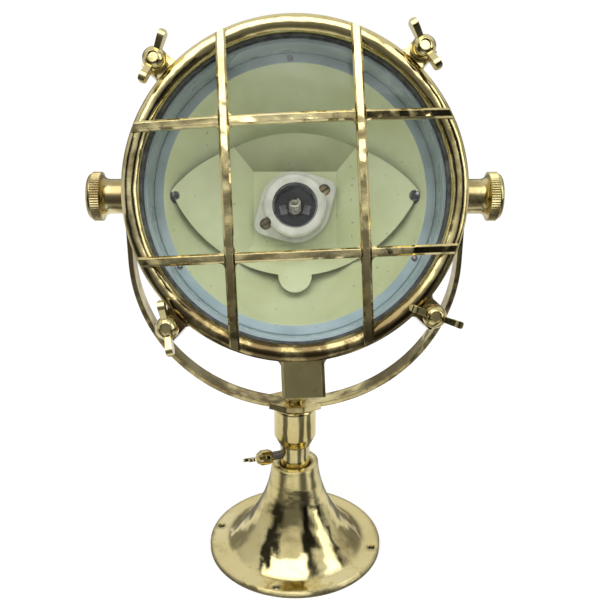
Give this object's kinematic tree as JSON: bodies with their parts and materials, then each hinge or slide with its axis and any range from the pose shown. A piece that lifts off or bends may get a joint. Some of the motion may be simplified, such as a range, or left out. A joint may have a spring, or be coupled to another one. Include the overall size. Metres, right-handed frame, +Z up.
{
  "type": "ship cargo light",
  "caption": "Brass ship cargo light: caged round floodlight head with wing-nut clamps, tilting between knobs in a U yoke that swivels on a trumpet-shaped screw-down foot.",
  "frame": {"origin": "centre of the foot's screw circle, on the underside of the foot", "axes": "+Z up along the swivel axis, -Y where the lamp looks, X along the tilt axis"},
  "size_m": [0.2614, 0.169, 0.3763],
  "materials": {
    "polished_brass": "polished, with light tarnish",
    "body_brass": "polished outside, dull grey inside",
    "contact_brass": "bright",
    "dark_steel": "darkened",
    "black_rubber": "matt",
    "green_enamel": "semi-gloss enamel",
    "clear_glass": "clear",
    "white_porcelain": "glazed"
  },
  "bodies": {
    "base": {"base_pedestal": "polished_brass", "neck_tube": "polished_brass", "neck_locknut": "polished_brass", "swivel_washer": "dark_steel"},
    "lock_screw": {"lock_stud": "dark_steel", "lock_wing": "polished_brass"},
    "yoke": {"stem_sleeve": "polished_brass", "yoke_strap": "polished_brass", "yoke_washer": "polished_brass", "yoke_nut": "polished_brass"},
    "head": {"lamp_body": "body_brass", "friction_washers": "black_rubber", "trunnion_studs": "dark_steel", "trunnion_nuts": "dark_steel", "clamp_pins": "dark_steel", "cable_entry_block": "polished_brass", "cable_seal": "black_rubber", "cable_gland_nut": "polished_brass", "rear_gasket": "black_rubber", "front_glass": "clear_glass", "front_gasket": "black_rubber", "cage_ring": "polished_brass", "cage_bars_upright": "polished_brass", "cage_bars_level": "polished_brass", "reflector_dish": "green_enamel", "reflector_screws": "dark_steel", "lamp_carrier": "green_enamel", "carrier_pillars": "dark_steel", "lampholder_porcelain": "white_porcelain", "holder_screws": "contact_brass", "screw_shell": "dark_steel", "contact_plate": "contact_brass", "contact_spring": "contact_brass"},
    "knob_left": {"knob_left": "polished_brass"},
    "knob_right": {"knob_right": "polished_brass"},
    "bolt_upper_right": {"swing_bolt_upper_right": "polished_brass"},
    "nut_upper_right": {"wing_nut_upper_right": "polished_brass"},
    "bolt_upper_left": {"swing_bolt_upper_left": "polished_brass"},
    "nut_upper_left": {"wing_nut_upper_left": "polished_brass"},
    "bolt_lower_left": {"swing_bolt_lower_left": "polished_brass"},
    "nut_lower_left": {"wing_nut_lower_left": "polished_brass"},
    "bolt_lower_right": {"swing_bolt_lower_right": "polished_brass"},
    "nut_lower_right": {"wing_nut_lower_right": "polished_brass"}
  },
  "joints": [
    {"name": "pan", "type": "hinge", "parent": "base", "child": "yoke", "pos_m": [0, 0, 0.1], "axis": [0, 0, 1], "range_deg": [-180, 180]},
    {"name": "tilt", "type": "hinge", "parent": "yoke", "child": "head", "pos_m": [0, 0, 0.265], "axis": [-1, 0, 0], "range_deg": [-30, 70]},
    {"name": "lock_screw_turn", "type": "hinge", "parent": "base", "child": "lock_screw", "pos_m": [-0.01902, -0.00618, 0.0766], "axis": [-0.9511, -0.309, 0], "range_deg": [0, 360]},
    {"name": "knob_left_turn", "type": "hinge", "parent": "head", "child": "knob_left", "pos_m": [-0.12, 0, 0.265], "axis": [-1, 0, 0], "range_deg": [0, 360]},
    {"name": "knob_right_turn", "type": "hinge", "parent": "head", "child": "knob_right", "pos_m": [0.12, 0, 0.265], "axis": [1, 0, 0], "range_deg": [0, 360]},
    {"name": "swing_upper_right", "type": "hinge", "parent": "head", "child": "bolt_upper_right", "pos_m": [0.07411, -0.00617, 0.35331], "axis": [-0.7373, 0.2311, 0.6348], "range_deg": [0, 80]},
    {"name": "nut_upper_right_turn", "type": "hinge", "parent": "bolt_upper_right", "child": "nut_upper_right", "pos_m": [0.07411, -0.0212, 0.35879], "axis": [0, -0.9397, 0.342], "continuous": true},
    {"name": "swing_upper_left", "type": "hinge", "parent": "head", "child": "bolt_upper_left", "pos_m": [-0.08088, -0.00848, 0.34696], "axis": [-0.6756, -0.2522, -0.6928], "range_deg": [0, 80]},
    {"name": "nut_upper_left_turn", "type": "hinge", "parent": "bolt_upper_left", "child": "nut_upper_left", "pos_m": [-0.08088, -0.02352, 0.35243], "axis": [0, -0.9397, 0.342], "continuous": true},
    {"name": "swing_lower_left", "type": "hinge", "parent": "head", "child": "bolt_lower_left", "pos_m": [-0.07411, -0.06149, 0.20131], "axis": [0.7373, -0.2311, -0.6348], "range_deg": [0, 80]},
    {"name": "nut_lower_left_turn", "type": "hinge", "parent": "bolt_lower_left", "child": "nut_lower_left", "pos_m": [-0.07411, -0.07653, 0.20678], "axis": [0, -0.9397, 0.342], "continuous": true},
    {"name": "swing_lower_right", "type": "hinge", "parent": "head", "child": "bolt_lower_right", "pos_m": [0.08088, -0.05918, 0.20767], "axis": [0.6756, 0.2522, 0.6928], "range_deg": [0, 80]},
    {"name": "nut_lower_right_turn", "type": "hinge", "parent": "bolt_lower_right", "child": "nut_lower_right", "pos_m": [0.08088, -0.07421, 0.21314], "axis": [0, -0.9397, 0.342], "continuous": true}
  ]
}
